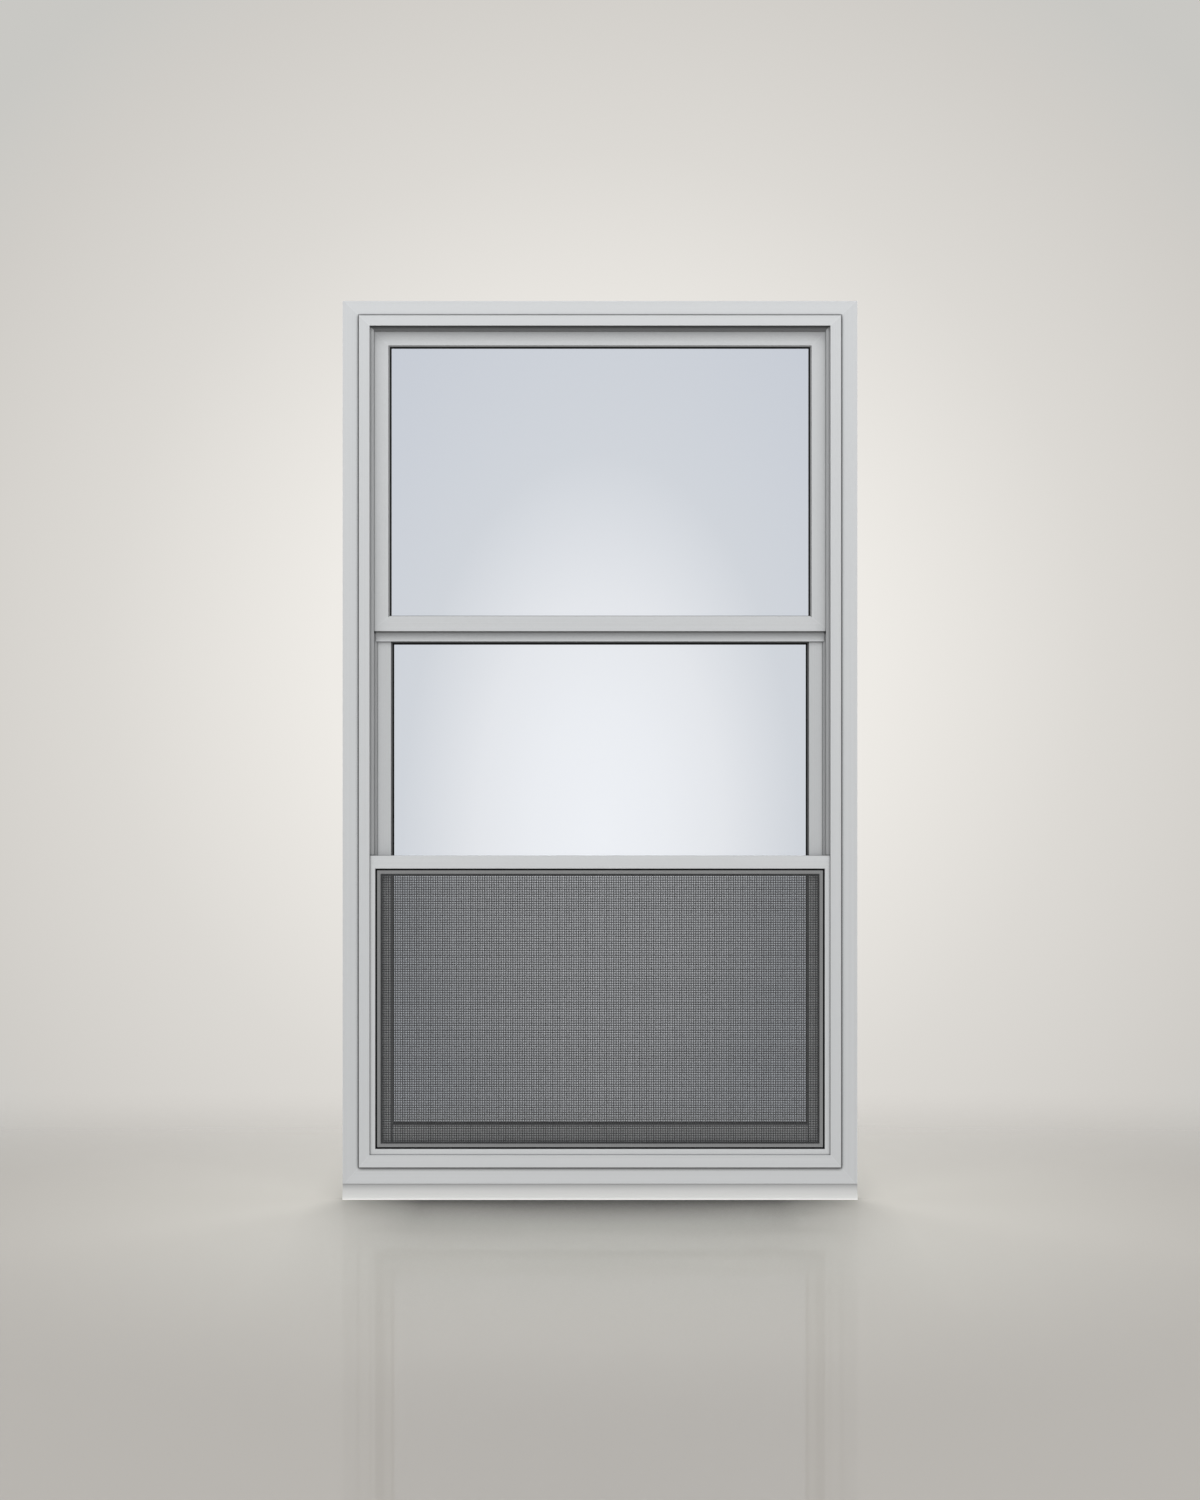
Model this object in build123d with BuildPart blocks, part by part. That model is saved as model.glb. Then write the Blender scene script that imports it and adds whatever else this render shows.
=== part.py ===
"""Aluminium storm window with two glazed sashes and an insect screen in three tracks.

Millimetres. +Z is up and -Y is the outside, where the screen is. The back of the mounting
flange lies in the plane y = 0, and the origin is at the middle of the head flange's back.
"""
from build123d import *
import os

os.makedirs("parts", exist_ok=True)

# Frame: size over the flange, wall thickness and the widths of flange and raised face
frame_width = 813.0
frame_height = 1394.0
wall = 1.3
head_flange = 22.4
head_face = 17.1
jamb_flange = 25.3
jamb_face = 17.8
sill_flange = 25.4
sill_face = 20.4

# Shadow groove in the flange at the foot of the raised face, and how far edges are rounded
shadow_groove = 1.2
shadow_groove_depth = 0.6
face_round = 1.0
corner_round = 2.4
lip_round = 0.6
fin_round = 0.5

# Depths of the frame, from the outside in: raised face, fins between the tracks, inner lip
face_y = -6.0
fin_2_y = 5.7
fin_3_y = 17.2
back_y = 30.0

# Reach of fins, lips and floors, from the frame's outer edge towards the opening
jamb_fin_2 = 49.4
jamb_fin_3 = 53.7
jamb_back_lip = 52.0
jamb_floor = 40.4
head_fin_2 = 47.2
head_fin_3 = 51.5
head_back_lip = 50.0
head_floor = 37.9
sill_fin_2 = 50.0
sill_fin_3 = 53.0
sill_back_lip = 54.0
sill_floor_2 = 40.0

# Sashes: tube wall, thickness, and the front face of each in its track
skin = 1.2
rail_round = 0.8
sash_depth = 8.0
upper_y = 7.7
lower_y = 19.2
sash_half_width = 363.1
glass_thickness = 3.0
vinyl = 1.0
vinyl_show = 2.7
meeting_show = 0.6
lip_bevel = 2.4
lip_drop = 1.0
pocket_depth = 10.0
edge_cover = 8.0

# Heights below the top of the frame and widths of the sash rails
upper_top = 40.9
upper_face_width = 28.4
upper_bottom_rail = 24.3
upper_bottom = 521.7
lower_top = 512.0
lower_top_rail = 25.2
lower_bottom_rail = 44.0
lower_bottom = 1347.8
lower_face_width = 32.1
interlock_half_width = 355.0
interlock_cap_half_width = 352.0
interlock_y = 15.95
interlock_thickness = 1.0

# Finger lift along the lower sash's bottom rail, on the room side
lift_height = 34.0
lift_reach = 5.5
lift_drop = 3.0

# Screen frame: a rolled tube with a spline groove and an inner leg that carries the mesh
screen_top = 875.7
screen_bottom = 1359.7
screen_half_width = 375.5
screen_y = -3.8
screen_depth = 7.0
screen_skin = 0.8
screen_outer_round = 0.5
screen_inner_round = 0.8
screen_face = 21.0
groove_width = 2.6
groove_depth = 4.5
leg_width = 5.6
leg_drop = 1.4
leg_back_gap = 1.0
bead_width = 3.2
bead_depth = 2.0
mesh_thickness = 0.4
spline_drop = 0.7
spline_round = 1.1

# Sill expander: height below the flange, how far its cove flares out, and its legs
expander_height = 24.5
expander_flare = 12.4
expander_nose = 1.6
expander_gap = 0.1
cove_drop = 2.0
nose_width = 4.5
expander_tongue = 18.0
tongue_half_width = 378.0
expander_back_y = 27.0
expander_back_leg = 12.0

# Slide bolts of the lower sash, and the flatter latches of the upper sash and the screen
bolt_length = 44.0
bolt_height = 12.0
bolt_reach = 0.9
grip_length = 12.0
grip_inset = 4.0
bolt_grip_height = 5.0
latch_height = 10.0
latch_grip_height = 2.0
rib_pitch = 3.0
rib_gap = 1.4
rib_depth = 0.8
rib_count = 3
latch_clearance = 1.0

# Pile weatherstrips
pile_width = 5.0

# Levels that follow from the driving dimensions
half_width = frame_width / 2
top_z = head_flange / 2
bottom_z = top_z - frame_height
sill_floor_1 = frame_height - screen_bottom
sill_floor_3 = frame_height - lower_bottom


def draw(points, place, mode=Mode.ADD):
    """One closed outline in the current sketch, its points given as (inward, depth)."""
    with BuildLine() as outline:
        Polyline(*[place(inward, depth) for inward, depth in points], close=True)
    make_face(outline.edges(), mode=mode)


def round_off(place, inward, depth, radius):
    """Round the corner of the current sketch that lies at this point."""
    fillet(vertices().sort_by_distance(place(inward, depth))[0], radius)


def side_section(flange, lip, fin_2, fin_3, back_lip, floor, place):
    """Head and jamb extrusion: flange, raised face, outer track, then two deeper tracks."""
    step = flange + wall
    groove = flange - shadow_groove
    groove_floor = shadow_groove_depth - wall
    draw(
        [
            (0, -wall), (groove, -wall), (groove, groove_floor), (flange, groove_floor),
            (flange, face_y), (lip, face_y), (lip, face_y + wall),
            (step, face_y + wall), (step, fin_2_y), (fin_2, fin_2_y), (fin_2, fin_2_y + wall),
            (floor, fin_2_y + wall), (floor, fin_3_y), (fin_3, fin_3_y), (fin_3, fin_3_y + wall),
            (floor, fin_3_y + wall), (floor, back_y - wall), (back_lip, back_y - wall),
            (back_lip, back_y), (floor - wall, back_y), (floor - wall, fin_2_y + wall),
            (flange, fin_2_y + wall), (flange, 0), (0, 0),
        ],
        place,
    )
    round_off(place, flange, face_y, face_round)
    round_off(place, lip, face_y, lip_round)
    round_off(place, fin_2, fin_2_y, fin_round)
    round_off(place, fin_3, fin_3_y, fin_round)


def sill_section(place):
    """Sill extrusion: its three floors step up towards the room, with an upstand to each."""
    lip = sill_flange + sill_face
    groove = sill_flange - shadow_groove
    groove_floor = shadow_groove_depth - wall
    draw(
        [
            (0, -wall), (groove, -wall), (groove, groove_floor), (sill_flange, groove_floor),
            (sill_flange, face_y), (lip, face_y),
            (lip, face_y + wall), (sill_floor_1, face_y + wall), (sill_floor_1, fin_2_y),
            (sill_fin_2, fin_2_y), (sill_fin_2, fin_2_y + wall), (sill_floor_2, fin_2_y + wall),
            (sill_floor_2, fin_3_y), (sill_fin_3, fin_3_y), (sill_fin_3, fin_3_y + wall),
            (sill_floor_3, fin_3_y + wall), (sill_floor_3, back_y - wall),
            (sill_back_lip, back_y - wall), (sill_back_lip, back_y),
            (sill_floor_3 - wall, back_y), (sill_floor_3 - wall, fin_3_y + wall),
            (sill_floor_2 - wall, fin_3_y + wall), (sill_floor_2 - wall, fin_2_y + wall),
            (sill_floor_1 - wall, fin_2_y + wall), (sill_floor_1 - wall, face_y + wall),
            (sill_flange + wall, face_y + wall), (sill_flange + wall, 0), (0, 0),
        ],
        place,
    )
    round_off(place, sill_flange, face_y, face_round)
    round_off(place, lip, face_y, lip_round)
    round_off(place, sill_fin_2, fin_2_y, fin_round)
    round_off(place, sill_fin_3, fin_3_y, fin_round)


def rail_section(face, front, place, bevel=lip_bevel):
    """Sash rail: a tube whose inner edge opens into a pocket for the glass and its vinyl."""
    lip = face + bevel
    pocket = face - pocket_depth
    back = front + sash_depth
    middle = front + sash_depth / 2
    half_gap = glass_thickness / 2 + vinyl
    draw(
        [
            (0, front), (face, front), (lip, front + lip_drop), (lip, middle - half_gap),
            (pocket, middle - half_gap), (pocket, middle + half_gap), (lip, middle + half_gap),
            (lip, back - lip_drop), (face, back), (0, back),
        ],
        place,
    )
    round_off(place, 0, front, rail_round)
    round_off(place, 0, back, rail_round)
    hollow = [
        (skin, front + skin), (pocket - skin, front + skin),
        (pocket - skin, back - skin), (skin, back - skin),
    ]
    draw(hollow, place, mode=Mode.SUBTRACT)


def screen_section(place):
    """Screen rail: a flat tube, then the spline groove and the leg that the mesh lies on."""
    back = screen_y + screen_depth
    groove = screen_face + groove_width
    leg_end = groove + leg_width
    leg_y = screen_y + leg_drop
    leg_back = back - leg_back_gap
    floor_y = screen_y + groove_depth
    draw(
        [
            (0, screen_y), (screen_face, screen_y), (screen_face, floor_y), (groove, floor_y),
            (groove, leg_y), (leg_end, leg_y), (leg_end, leg_back),
            (leg_end - screen_skin, leg_back),
            (leg_end - screen_skin, leg_y + screen_skin), (groove + screen_skin, leg_y + screen_skin),
            (groove + screen_skin, floor_y + screen_skin), (screen_face, floor_y + screen_skin),
            (screen_face, back), (0, back),
        ],
        place,
    )
    round_off(place, 0, screen_y, screen_outer_round)
    round_off(place, screen_face, screen_y, screen_inner_round)
    hollow = [
        (screen_skin, screen_y + screen_skin), (screen_face - screen_skin, screen_y + screen_skin),
        (screen_face - screen_skin, back - screen_skin), (screen_skin, back - screen_skin),
    ]
    draw(hollow, place, mode=Mode.SUBTRACT)


def mitre(outer, inner):
    """Plane of a mitred joint, through its outer and inner corners (x, z), facing up."""
    run = inner[0] - outer[0]
    rise = inner[1] - outer[1]
    facing = (-rise, 0, run) if run > 0 else (rise, 0, -run)
    return Plane(origin=(outer[0], 0, outer[1]), x_dir=(0, 1, 0), z_dir=facing)


def block(x_low, x_high, y_low, y_high, z_low, z_high, mode=Mode.ADD):
    """A plain rectangular block in the current part, between the given limits."""
    centre = ((x_low + x_high) / 2, (y_low + y_high) / 2, (z_low + z_high) / 2)
    with Locations(centre):
        Box(x_high - x_low, y_high - y_low, z_high - z_low, mode=mode)


def round_face_corner(x, z, side, up):
    """Round the raised face's corner at (x, z), which points sideways by side and up or down by up."""
    cut_y = shadow_groove_depth - wall
    centre_x, centre_z = x - side * corner_round, z - up * corner_round
    with BuildPart(mode=Mode.PRIVATE) as cut:
        x_low, x_high = sorted((centre_x, x))
        z_low, z_high = sorted((centre_z, z))
        block(x_low, x_high, face_y, cut_y, z_low, z_high)
        with Locations(Location((centre_x, (face_y + cut_y) / 2, centre_z), (90, 0, 0))):
            Cylinder(corner_round, cut_y - face_y, mode=Mode.SUBTRACT)
    add(cut.part, mode=Mode.SUBTRACT)


def save(piece, name):
    """Label a finished piece and write its STEP file."""
    piece.part.label = name
    export_step(piece.part, f"parts/{name}.step")


# Frame: four mitred extrusions
step_x = half_width - jamb_flange
lip_x = step_x - jamb_face
head_step_z = top_z - head_flange
head_lip_z = head_step_z - head_face
sill_step_z = bottom_z + sill_flange
sill_lip_z = sill_step_z + sill_face
head_mitre = {
    side: mitre((side * step_x, head_step_z), (side * lip_x, head_lip_z)) for side in (-1, 1)
}
sill_mitre = {
    side: mitre((side * step_x, sill_step_z), (side * lip_x, sill_lip_z)) for side in (-1, 1)
}

with BuildPart() as frame_head:
    with BuildSketch(Plane.YZ):
        side_section(
            head_flange, head_flange + head_face, head_fin_2, head_fin_3, head_back_lip, head_floor,
            lambda inward, depth: (depth, top_z - inward),
        )
    extrude(amount=half_width, both=True)
    split(bisect_by=head_mitre[-1], keep=Keep.TOP)
    split(bisect_by=head_mitre[1], keep=Keep.TOP)
    for side in (-1, 1):
        round_face_corner(side * step_x, head_step_z, side, 1)
save(frame_head, "frame_head")

with BuildPart() as frame_sill:
    with BuildSketch(Plane.YZ):
        sill_section(lambda inward, depth: (depth, bottom_z + inward))
    extrude(amount=half_width, both=True)
    split(bisect_by=sill_mitre[-1], keep=Keep.BOTTOM)
    split(bisect_by=sill_mitre[1], keep=Keep.BOTTOM)
    for side in (-1, 1):
        round_face_corner(side * step_x, sill_step_z, side, -1)
save(frame_sill, "frame_sill")

for side, hand in ((-1, "left"), (1, "right")):
    with BuildPart() as frame_jamb:
        with BuildSketch(Plane.XY.offset(bottom_z)):
            side_section(
                jamb_flange, jamb_flange + jamb_face, jamb_fin_2, jamb_fin_3, jamb_back_lip, jamb_floor,
                lambda inward, depth: (side * (half_width - inward), depth),
            )
        extrude(amount=frame_height)
        split(bisect_by=head_mitre[side], keep=Keep.BOTTOM)
        split(bisect_by=sill_mitre[side], keep=Keep.TOP)
        round_face_corner(side * step_x, head_step_z, side, 1)
        round_face_corner(side * step_x, sill_step_z, side, -1)
    save(frame_jamb, f"frame_jamb_{hand}")

# Sill expander: a coved nose below the flange, a tongue behind it and a leg at the back
nose_y = expander_gap - expander_flare
cove_z = bottom_z - cove_drop
foot_z = bottom_z - expander_height
leg_top_z = bottom_z + expander_back_leg
tongue_back_y = expander_gap + wall
with BuildPart() as sill_expander:
    with BuildSketch(Plane.YZ):
        with BuildLine():
            Line((expander_gap, bottom_z), (expander_gap, cove_z))
            TangentArc((expander_gap, cove_z), (nose_y, foot_z + expander_nose), tangent=(0, -1))
            Polyline(
                (nose_y, foot_z + expander_nose),
                (nose_y, foot_z),
                (expander_back_y, foot_z),
                (expander_back_y, leg_top_z),
                (expander_back_y - wall, leg_top_z),
                (expander_back_y - wall, foot_z + wall),
                (nose_y + nose_width, foot_z + wall),
            )
            TangentArc(
                (tongue_back_y, bottom_z - 2 * wall),
                (nose_y + nose_width, foot_z + wall),
                tangent=(0, -1),
            )
            Polyline(
                (tongue_back_y, bottom_z - 2 * wall),
                (tongue_back_y, bottom_z),
                (expander_gap, bottom_z),
            )
        make_face()
    extrude(amount=half_width, both=True)
    block(
        -tongue_half_width, tongue_half_width, expander_gap, tongue_back_y,
        bottom_z, bottom_z + expander_tongue,
    )
save(sill_expander, "sill_expander")


# Upper sash: four mitred rails round its glass, in the middle track
upper_top_z = top_z - upper_top
upper_bottom_z = top_z - upper_bottom
upper_inner_x = sash_half_width - upper_face_width
upper_inner_top_z = upper_top_z - upper_face_width
upper_inner_bottom_z = upper_bottom_z + upper_bottom_rail
upper_top_mitre = {
    side: mitre((side * sash_half_width, upper_top_z), (side * upper_inner_x, upper_inner_top_z))
    for side in (-1, 1)
}
upper_lip_x = upper_inner_x - lip_bevel
upper_bottom_mitre = {
    side: mitre((side * sash_half_width, upper_bottom_z), (side * upper_lip_x, upper_inner_bottom_z))
    for side in (-1, 1)
}

with BuildPart() as upper_sash_top_rail:
    with BuildSketch(Plane.YZ):
        rail_section(upper_face_width, upper_y, lambda inward, depth: (depth, upper_top_z - inward))
    extrude(amount=sash_half_width, both=True)
    split(bisect_by=upper_top_mitre[-1], keep=Keep.TOP)
    split(bisect_by=upper_top_mitre[1], keep=Keep.TOP)
save(upper_sash_top_rail, "upper_sash_top_rail")

with BuildPart() as upper_sash_bottom_rail:
    with BuildSketch(Plane.YZ):
        rail_section(
            upper_bottom_rail, upper_y, lambda inward, depth: (depth, upper_bottom_z + inward), bevel=0
        )
    extrude(amount=sash_half_width, both=True)
    split(bisect_by=upper_bottom_mitre[-1], keep=Keep.BOTTOM)
    split(bisect_by=upper_bottom_mitre[1], keep=Keep.BOTTOM)
save(upper_sash_bottom_rail, "upper_sash_bottom_rail")

for side, hand in ((-1, "left"), (1, "right")):
    with BuildPart() as upper_sash_stile:
        with BuildSketch(Plane.XY.offset(upper_bottom_z)):
            rail_section(
                upper_face_width, upper_y,
                lambda inward, depth: (side * (sash_half_width - inward), depth),
            )
        extrude(amount=upper_top_z - upper_bottom_z)
        split(bisect_by=upper_top_mitre[side], keep=Keep.BOTTOM)
        split(bisect_by=upper_bottom_mitre[side], keep=Keep.TOP)
    save(upper_sash_stile, f"upper_sash_stile_{hand}")


# Lower sash: stiles from top to bottom, rails between them, an interlock across the top
lower_top_z = top_z - lower_top
lower_bottom_z = top_z - lower_bottom
lower_rail_x = sash_half_width - lower_face_width - lip_bevel

with BuildPart() as lower_sash_top_rail:
    with BuildSketch(Plane.YZ):
        rail_section(lower_top_rail, lower_y, lambda inward, depth: (depth, lower_top_z - inward))
    extrude(amount=lower_rail_x, both=True)
    block(
        -interlock_cap_half_width, interlock_cap_half_width, interlock_y, lower_y + sash_depth,
        lower_top_z, lower_top_z + skin,
    )
    block(
        -interlock_half_width, interlock_half_width, interlock_y, interlock_y + interlock_thickness,
        lower_top_z - lower_top_rail, lower_top_z + skin,
    )
save(lower_sash_top_rail, "lower_sash_top_rail")

with BuildPart() as lower_sash_bottom_rail:
    with BuildSketch(Plane.YZ):
        rail_section(lower_bottom_rail, lower_y, lambda inward, depth: (depth, lower_bottom_z + inward))
    extrude(amount=lower_rail_x, both=True)
    lift_z = lower_bottom_z + lift_height
    lift_y = lower_y + sash_depth
    block(-lower_rail_x, lower_rail_x, lift_y, lift_y + lift_reach, lift_z, lift_z + skin)
    block(
        -lower_rail_x, lower_rail_x, lift_y + lift_reach - skin, lift_y + lift_reach,
        lift_z - lift_drop, lift_z,
    )
save(lower_sash_bottom_rail, "lower_sash_bottom_rail")

for side, hand in ((-1, "left"), (1, "right")):
    with BuildPart() as lower_sash_stile:
        with BuildSketch(Plane.XY.offset(lower_bottom_z)):
            rail_section(
                lower_face_width, lower_y,
                lambda inward, depth: (side * (sash_half_width - inward), depth),
            )
        extrude(amount=lower_top_z - lower_bottom_z)
    save(lower_sash_stile, f"lower_sash_stile_{hand}")


def glaze(name, front, side_face, top_z_edge, top_face, bottom_z_edge, bottom_face, bottom_show):
    """A pane of glass that reaches into the rails' pockets, and the vinyl round its edge.

    The vinyl stands this far (bottom_show) above the flat face of the bottom rail.
    """
    middle = front + sash_depth / 2
    half_glass = glass_thickness / 2
    half_vinyl = half_glass + vinyl
    pocket_x = sash_half_width - side_face + pocket_depth
    pocket_top = top_z_edge - top_face + pocket_depth
    pocket_bottom = bottom_z_edge + bottom_face - pocket_depth
    show_x = sash_half_width - side_face - lip_bevel - vinyl_show
    show_top = top_z_edge - top_face - lip_bevel - vinyl_show
    show_bottom = bottom_z_edge + bottom_face + bottom_show
    inset = pocket_depth - edge_cover
    with BuildPart() as glass:
        block(
            -pocket_x + inset, pocket_x - inset, middle - half_glass, middle + half_glass,
            pocket_bottom + inset, pocket_top - inset,
        )
    save(glass, f"{name}_glass")
    with BuildPart() as gasket:
        block(
            -pocket_x, pocket_x, middle - half_vinyl, middle + half_vinyl,
            pocket_bottom, pocket_top,
        )
        block(
            -show_x, show_x, middle - half_vinyl, middle + half_vinyl,
            show_bottom, show_top, mode=Mode.SUBTRACT,
        )
        block(
            -pocket_x + inset, pocket_x - inset, middle - half_glass, middle + half_glass,
            pocket_bottom + inset, pocket_top - inset, mode=Mode.SUBTRACT,
        )
    save(gasket, f"{name}_glazing_gasket")


glaze(
    "upper", upper_y, upper_face_width, upper_top_z, upper_face_width,
    upper_bottom_z, upper_bottom_rail, meeting_show,
)
glaze(
    "lower", lower_y, lower_face_width, lower_top_z, lower_top_rail,
    lower_bottom_z, lower_bottom_rail, lip_bevel + vinyl_show,
)


# Insect screen: four mitred rails in the outer track, with spline, mesh and inner bead
screen_top_z = top_z - screen_top
screen_bottom_z = top_z - screen_bottom
screen_inner_x = screen_half_width - screen_face
screen_top_mitre = {
    side: mitre(
        (side * screen_half_width, screen_top_z), (side * screen_inner_x, screen_top_z - screen_face)
    )
    for side in (-1, 1)
}
screen_bottom_mitre = {
    side: mitre(
        (side * screen_half_width, screen_bottom_z),
        (side * screen_inner_x, screen_bottom_z + screen_face),
    )
    for side in (-1, 1)
}

with BuildPart() as screen_top_rail:
    with BuildSketch(Plane.YZ):
        screen_section(lambda inward, depth: (depth, screen_top_z - inward))
    extrude(amount=screen_half_width, both=True)
    split(bisect_by=screen_top_mitre[-1], keep=Keep.TOP)
    split(bisect_by=screen_top_mitre[1], keep=Keep.TOP)
save(screen_top_rail, "screen_top_rail")

with BuildPart() as screen_bottom_rail:
    with BuildSketch(Plane.YZ):
        screen_section(lambda inward, depth: (depth, screen_bottom_z + inward))
    extrude(amount=screen_half_width, both=True)
    split(bisect_by=screen_bottom_mitre[-1], keep=Keep.BOTTOM)
    split(bisect_by=screen_bottom_mitre[1], keep=Keep.BOTTOM)
save(screen_bottom_rail, "screen_bottom_rail")

for side, hand in ((-1, "left"), (1, "right")):
    with BuildPart() as screen_stile:
        with BuildSketch(Plane.XY.offset(screen_bottom_z)):
            screen_section(lambda inward, depth: (side * (screen_half_width - inward), depth))
        extrude(amount=screen_top_z - screen_bottom_z)
        split(bisect_by=screen_top_mitre[side], keep=Keep.BOTTOM)
        split(bisect_by=screen_bottom_mitre[side], keep=Keep.TOP)
    save(screen_stile, f"screen_stile_{hand}")


def screen_block(inward, y_low, y_high, mode=Mode.ADD):
    """A block over the whole screen, its four edges this far in from the screen's outer edge."""
    block(
        -screen_half_width + inward, screen_half_width - inward, y_low, y_high,
        screen_bottom_z + inward, screen_top_z - inward, mode=mode,
    )


groove_end = screen_face + groove_width
leg_end = groove_end + leg_width
leg_y = screen_y + leg_drop

with BuildPart() as screen_mesh:
    screen_block(groove_end, leg_y - mesh_thickness, leg_y)
save(screen_mesh, "screen_mesh")

with BuildPart() as screen_spline:
    screen_block(screen_face, screen_y + spline_drop, screen_y + groove_depth)
    screen_block(groove_end, screen_y + spline_drop, screen_y + groove_depth, mode=Mode.SUBTRACT)
    fillet(screen_spline.edges().group_by(Axis.Y)[0], spline_round)
save(screen_spline, "screen_spline")

with BuildPart() as screen_inner_bead:
    screen_block(leg_end, leg_y + bead_depth / 4, leg_y + bead_depth)
    screen_block(leg_end + bead_width, leg_y + bead_depth / 4, leg_y + bead_depth, mode=Mode.SUBTRACT)
save(screen_inner_bead, "screen_inner_bead")


# Slide bolts and latches on the rails' room side, which catch behind the jambs' fins
catches = {
    "lower_sash_bolt": (
        sash_half_width, lower_y + sash_depth, lower_bottom_z + lower_bottom_rail / 2,
        bolt_height, bolt_grip_height,
    ),
    "upper_sash_latch": (
        sash_half_width, upper_y + sash_depth, lower_top_z + skin + latch_clearance + latch_height / 2,
        latch_height, latch_grip_height,
    ),
    "screen_latch": (
        screen_half_width, screen_y + screen_depth, screen_top_z - screen_face / 2,
        latch_height, latch_grip_height,
    ),
}
for name, (edge_x, back, middle_z, height, grip_height) in catches.items():
    end_x = edge_x + bolt_reach
    inner_x = end_x - bolt_length
    grip_x = inner_x + grip_inset
    low, high = middle_z - height / 2, middle_z + height / 2
    for side, hand in ((-1, "left"), (1, "right")):
        with BuildPart() as catch:
            x_low, x_high = sorted((side * inner_x, side * end_x))
            block(x_low, x_high, back, back + skin, low, high)
            x_low, x_high = sorted((side * grip_x, side * (grip_x + grip_length)))
            grip_y = back + skin + grip_height
            block(x_low, x_high, back + skin, grip_y, low, high)
            with Locations((side * (grip_x + grip_length / 2), grip_y, middle_z)):
                with GridLocations(rib_pitch, 1, rib_count, 1):
                    Box(rib_gap, 2 * rib_depth, height, mode=Mode.SUBTRACT)
        save(catch, f"{name}_{hand}")


# Pile weatherstrips that close the gap between each sliding frame's edge and the jamb
jamb_wall_x = half_width - jamb_floor
screen_wall_x = half_width - jamb_flange - wall
pile_strips = {
    "upper_sash": (sash_half_width, jamb_wall_x, upper_y + sash_depth / 2, upper_bottom_z, upper_top_z),
    "lower_sash": (sash_half_width, jamb_wall_x, lower_y + sash_depth / 2, lower_bottom_z, lower_top_z),
    "screen": (
        screen_half_width, screen_wall_x, screen_y + screen_depth / 2, screen_bottom_z, screen_top_z
    ),
}
for name, (inner, outer, middle, low, high) in pile_strips.items():
    for side, hand in ((-1, "left"), (1, "right")):
        with BuildPart() as pile_strip:
            x_low, x_high = sorted((side * inner, side * outer))
            block(x_low, x_high, middle - pile_width / 2, middle + pile_width / 2, low, high)
        save(pile_strip, f"{name}_pile_{hand}")
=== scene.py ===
# %% [markdown]
# # An aluminium storm window
# A storm window is a second window screwed to the outside of a house wall. This one has a flanged
# frame, two glazed sashes and an insect screen, which slide in three tracks, and a white expander
# along the sill. The solid model comes in as a frame that is never changed. Everything below gives
# its pieces their finish, weaves the insect screen, and sets up the floor, light and camera.

# %% Load the solid model
import math
import random

import bpy
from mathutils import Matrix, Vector


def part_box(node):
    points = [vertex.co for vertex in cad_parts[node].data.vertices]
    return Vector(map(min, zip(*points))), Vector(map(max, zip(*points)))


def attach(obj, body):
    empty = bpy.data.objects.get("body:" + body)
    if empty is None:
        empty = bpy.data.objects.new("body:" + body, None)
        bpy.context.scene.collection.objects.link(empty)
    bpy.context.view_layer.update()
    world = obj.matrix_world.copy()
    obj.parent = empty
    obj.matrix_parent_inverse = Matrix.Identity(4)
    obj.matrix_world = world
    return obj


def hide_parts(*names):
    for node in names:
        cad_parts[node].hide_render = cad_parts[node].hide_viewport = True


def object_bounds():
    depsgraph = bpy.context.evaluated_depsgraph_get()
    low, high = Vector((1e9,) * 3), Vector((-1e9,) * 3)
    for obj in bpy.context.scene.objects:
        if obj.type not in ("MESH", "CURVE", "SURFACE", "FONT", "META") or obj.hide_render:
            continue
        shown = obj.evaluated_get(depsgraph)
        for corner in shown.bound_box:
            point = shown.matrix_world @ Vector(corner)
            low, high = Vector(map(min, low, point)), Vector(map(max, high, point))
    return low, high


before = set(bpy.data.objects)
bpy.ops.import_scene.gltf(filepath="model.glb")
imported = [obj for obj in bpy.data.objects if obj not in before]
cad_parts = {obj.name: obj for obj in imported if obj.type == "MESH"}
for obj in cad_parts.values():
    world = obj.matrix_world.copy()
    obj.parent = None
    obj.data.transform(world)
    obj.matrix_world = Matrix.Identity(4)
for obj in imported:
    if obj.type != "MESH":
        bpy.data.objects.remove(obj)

MM = 0.001
model_low, model_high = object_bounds()
print("nodes:", len(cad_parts), "height in mm:", round((model_high.z - model_low.z) / MM))

# %% [markdown]
# Colours are written as sRGB hex values, the way a paint maker or a screen shows them, but shaders
# add up light, so they need linear values. One function does the change for every colour here.

# %% Colours from sRGB to linear
def linear(hex_colour):
    """The linear RGBA of a colour written as an sRGB hex value."""
    channels = [int(hex_colour[i:i + 2], 16) / 255 for i in (1, 3, 5)]
    return [c / 12.92 if c <= 0.04045 else ((c + 0.055) / 1.055) ** 2.4 for c in channels] + [1.0]


print("mid grey in linear light:", round(linear("#808080")[0], 3))

# %% [markdown]
# A shader is a small graph. Adding a node by hand takes a line for the node, one for each setting
# and one for each wire, so one function does all three: it sets plain values and links sockets.

# %% One function that adds a node
def add_node(tree, kind, settings=None, inputs=None):
    """Add a node with its settings; an input that is a socket is linked, any other value is set."""
    made = tree.nodes.new(kind)
    for name, value in (settings or {}).items():
        setattr(made, name, value)
    for name, value in (inputs or {}).items():
        if isinstance(value, bpy.types.NodeSocket):
            tree.links.new(value, made.inputs[name])
        else:
            made.inputs[name].default_value = value
    return made


# %% [markdown]
# Every finish starts from an empty material. The solids keep their shape, and each gets its finish
# by name, so a list of names is all that a finish needs to know about the model.

# %% Start a material, and give it to solids
def new_material(name):
    """An empty node material and its output node."""
    material = bpy.data.materials.new(name)
    material.use_nodes = True
    material.node_tree.nodes.clear()
    return material, add_node(material.node_tree, "ShaderNodeOutputMaterial")


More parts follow.
